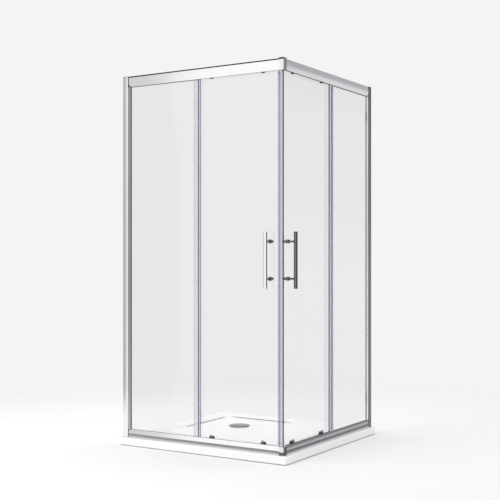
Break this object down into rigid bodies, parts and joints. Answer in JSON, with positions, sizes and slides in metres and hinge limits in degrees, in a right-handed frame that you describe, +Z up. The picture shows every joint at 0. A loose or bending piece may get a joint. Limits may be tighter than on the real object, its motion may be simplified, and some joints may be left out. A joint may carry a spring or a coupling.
{
  "type": "shower enclosure",
  "caption": "Square corner-entry shower enclosure with sliding glass doors, fixed panes, bright metal frame, bar handles and a low white tray with a round waste.",
  "frame": {"origin": "centre of the tray's underside, on the floor", "axes": "+Z up; the front glass side faces -Y and the right glass side faces +X; the room's walls stand at X = -0.5 and Y = +0.5; the entry corner is at +X, -Y"},
  "size_m": [1, 1, 1.93],
  "materials": {
    "tray_resin": "white gel-coated stone resin, glossy",
    "polished_aluminium": "bright chemically polished, chrome-like",
    "chrome": "bright chrome plate",
    "plated_plastic": "chrome-plated ABS",
    "safety_glass": "clear toughened glass",
    "clear_seal": "translucent PVC with a cool tint",
    "magnet": "bonded magnet strip, dull",
    "black_plastic": "black moulded nylon",
    "gasket_rubber": "grey EPDM rubber",
    "acetal": "white acetal, machined smooth",
    "grey_plastic": "dark grey moulded acetal",
    "steel": "stainless steel"
  },
  "bodies": {
    "frame": {"shower_tray": "tray_resin", "waste_body": "chrome", "waste_gasket": "gasket_rubber", "corner_block_top": "plated_plastic", "corner_block_bottom": "plated_plastic", "frame_end_caps": "black_plastic", "frame_screws": "steel", "door_stops": "gasket_rubber", "glazing_gaskets": "gasket_rubber", "wall_channel_front": "polished_aluminium", "jamb_front": "polished_aluminium", "header_front": "polished_aluminium", "bottom_rail_front": "polished_aluminium", "fixed_glass_front": "safety_glass", "fixed_edge_seal_front": "clear_seal", "wall_channel_right": "polished_aluminium", "jamb_right": "polished_aluminium", "header_right": "polished_aluminium", "bottom_rail_right": "polished_aluminium", "fixed_glass_right": "safety_glass", "fixed_edge_seal_right": "clear_seal"},
    "waste_cover": {"waste_cover": "chrome"},
    "front_door": {"front_door_glass": "safety_glass", "front_magnetic_seal": "clear_seal", "front_magnet_strip": "magnet", "front_trailing_seal": "clear_seal", "front_handle_bar": "chrome", "front_handle_posts": "chrome", "front_handle_cap_nuts": "chrome", "front_top_brackets": "steel", "front_top_bolts": "plated_plastic", "front_lower_housings": "grey_plastic", "front_lower_knobs": "plated_plastic", "front_sled_spring_a": "steel", "front_sled_spring_b": "steel"},
    "front_lower_sled_a": {"front_lower_sled_a": "grey_plastic"},
    "front_top_wheel_a": {"front_top_wheel_a": "acetal"},
    "front_lower_wheel_a": {"front_lower_wheel_a": "acetal"},
    "front_lower_sled_b": {"front_lower_sled_b": "grey_plastic"},
    "front_top_wheel_b": {"front_top_wheel_b": "acetal"},
    "front_lower_wheel_b": {"front_lower_wheel_b": "acetal"},
    "right_door": {"right_door_glass": "safety_glass", "right_magnetic_seal": "clear_seal", "right_magnet_strip": "magnet", "right_trailing_seal": "clear_seal", "right_handle_bar": "chrome", "right_handle_posts": "chrome", "right_handle_cap_nuts": "chrome", "right_top_brackets": "steel", "right_top_bolts": "plated_plastic", "right_lower_housings": "grey_plastic", "right_lower_knobs": "plated_plastic", "right_sled_spring_a": "steel", "right_sled_spring_b": "steel"},
    "right_lower_sled_a": {"right_lower_sled_a": "grey_plastic"},
    "right_top_wheel_a": {"right_top_wheel_a": "acetal"},
    "right_lower_wheel_a": {"right_lower_wheel_a": "acetal"},
    "right_lower_sled_b": {"right_lower_sled_b": "grey_plastic"},
    "right_top_wheel_b": {"right_top_wheel_b": "acetal"},
    "right_lower_wheel_b": {"right_lower_wheel_b": "acetal"}
  },
  "joints": [
    {"name": "waste_cover_lift", "type": "slide", "parent": "frame", "child": "waste_cover", "axis": [0, 0, 1], "range_m": [0, 0.05]},
    {"name": "front_door_slide", "type": "slide", "parent": "frame", "child": "front_door", "axis": [-1, 0, 0], "range_m": [0, 0.365]},
    {"name": "front_lower_sled_a_lift", "type": "slide", "parent": "front_door", "child": "front_lower_sled_a", "axis": [0, 0, 1], "range_m": [0, 0.004], "stiffness_N_per_m": 1500, "springref_m": -0.003, "deforming": ["front_sled_spring_a"]},
    {"name": "front_top_wheel_a_spin", "type": "hinge", "parent": "front_door", "child": "front_top_wheel_a", "pos_m": [0.045, -0.4385, 1.8983], "axis": [0, 1, 0], "continuous": true},
    {"name": "front_lower_wheel_a_spin", "type": "hinge", "parent": "front_lower_sled_a", "child": "front_lower_wheel_a", "pos_m": [0.045, -0.4385, 0.0653], "axis": [0, 1, 0], "continuous": true},
    {"name": "front_lower_sled_b_lift", "type": "slide", "parent": "front_door", "child": "front_lower_sled_b", "axis": [0, 0, 1], "range_m": [0, 0.004], "stiffness_N_per_m": 1500, "springref_m": -0.003, "deforming": ["front_sled_spring_b"]},
    {"name": "front_top_wheel_b_spin", "type": "hinge", "parent": "front_door", "child": "front_top_wheel_b", "pos_m": [0.345, -0.4385, 1.8983], "axis": [0, 1, 0], "continuous": true},
    {"name": "front_lower_wheel_b_spin", "type": "hinge", "parent": "front_lower_sled_b", "child": "front_lower_wheel_b", "pos_m": [0.345, -0.4385, 0.0653], "axis": [0, 1, 0], "continuous": true},
    {"name": "right_door_slide", "type": "slide", "parent": "frame", "child": "right_door", "axis": [0, 1, 0], "range_m": [0, 0.365]},
    {"name": "right_lower_sled_a_lift", "type": "slide", "parent": "right_door", "child": "right_lower_sled_a", "axis": [0, 0, 1], "range_m": [0, 0.004], "stiffness_N_per_m": 1500, "springref_m": -0.003, "deforming": ["right_sled_spring_a"]},
    {"name": "right_top_wheel_a_spin", "type": "hinge", "parent": "right_door", "child": "right_top_wheel_a", "pos_m": [0.4385, -0.045, 1.8983], "axis": [1, 0, 0], "continuous": true},
    {"name": "right_lower_wheel_a_spin", "type": "hinge", "parent": "right_lower_sled_a", "child": "right_lower_wheel_a", "pos_m": [0.4385, -0.045, 0.0653], "axis": [1, 0, 0], "continuous": true},
    {"name": "right_lower_sled_b_lift", "type": "slide", "parent": "right_door", "child": "right_lower_sled_b", "axis": [0, 0, 1], "range_m": [0, 0.004], "stiffness_N_per_m": 1500, "springref_m": -0.003, "deforming": ["right_sled_spring_b"]},
    {"name": "right_top_wheel_b_spin", "type": "hinge", "parent": "right_door", "child": "right_top_wheel_b", "pos_m": [0.4385, -0.345, 1.8983], "axis": [1, 0, 0], "continuous": true},
    {"name": "right_lower_wheel_b_spin", "type": "hinge", "parent": "right_lower_sled_b", "child": "right_lower_wheel_b", "pos_m": [0.4385, -0.345, 0.0653], "axis": [1, 0, 0], "continuous": true}
  ],
  "couplings": [
    {"joint": "front_top_wheel_a_spin", "follows": "front_door_slide", "rad_per_m": -90.909},
    {"joint": "front_lower_wheel_a_spin", "follows": "front_door_slide", "rad_per_m": -111.11},
    {"joint": "front_top_wheel_b_spin", "follows": "front_door_slide", "rad_per_m": -90.909},
    {"joint": "front_lower_wheel_b_spin", "follows": "front_door_slide", "rad_per_m": -111.11},
    {"joint": "right_top_wheel_a_spin", "follows": "right_door_slide", "rad_per_m": -90.909},
    {"joint": "right_lower_wheel_a_spin", "follows": "right_door_slide", "rad_per_m": -111.11},
    {"joint": "right_top_wheel_b_spin", "follows": "right_door_slide", "rad_per_m": -90.909},
    {"joint": "right_lower_wheel_b_spin", "follows": "right_door_slide", "rad_per_m": -111.11}
  ]
}
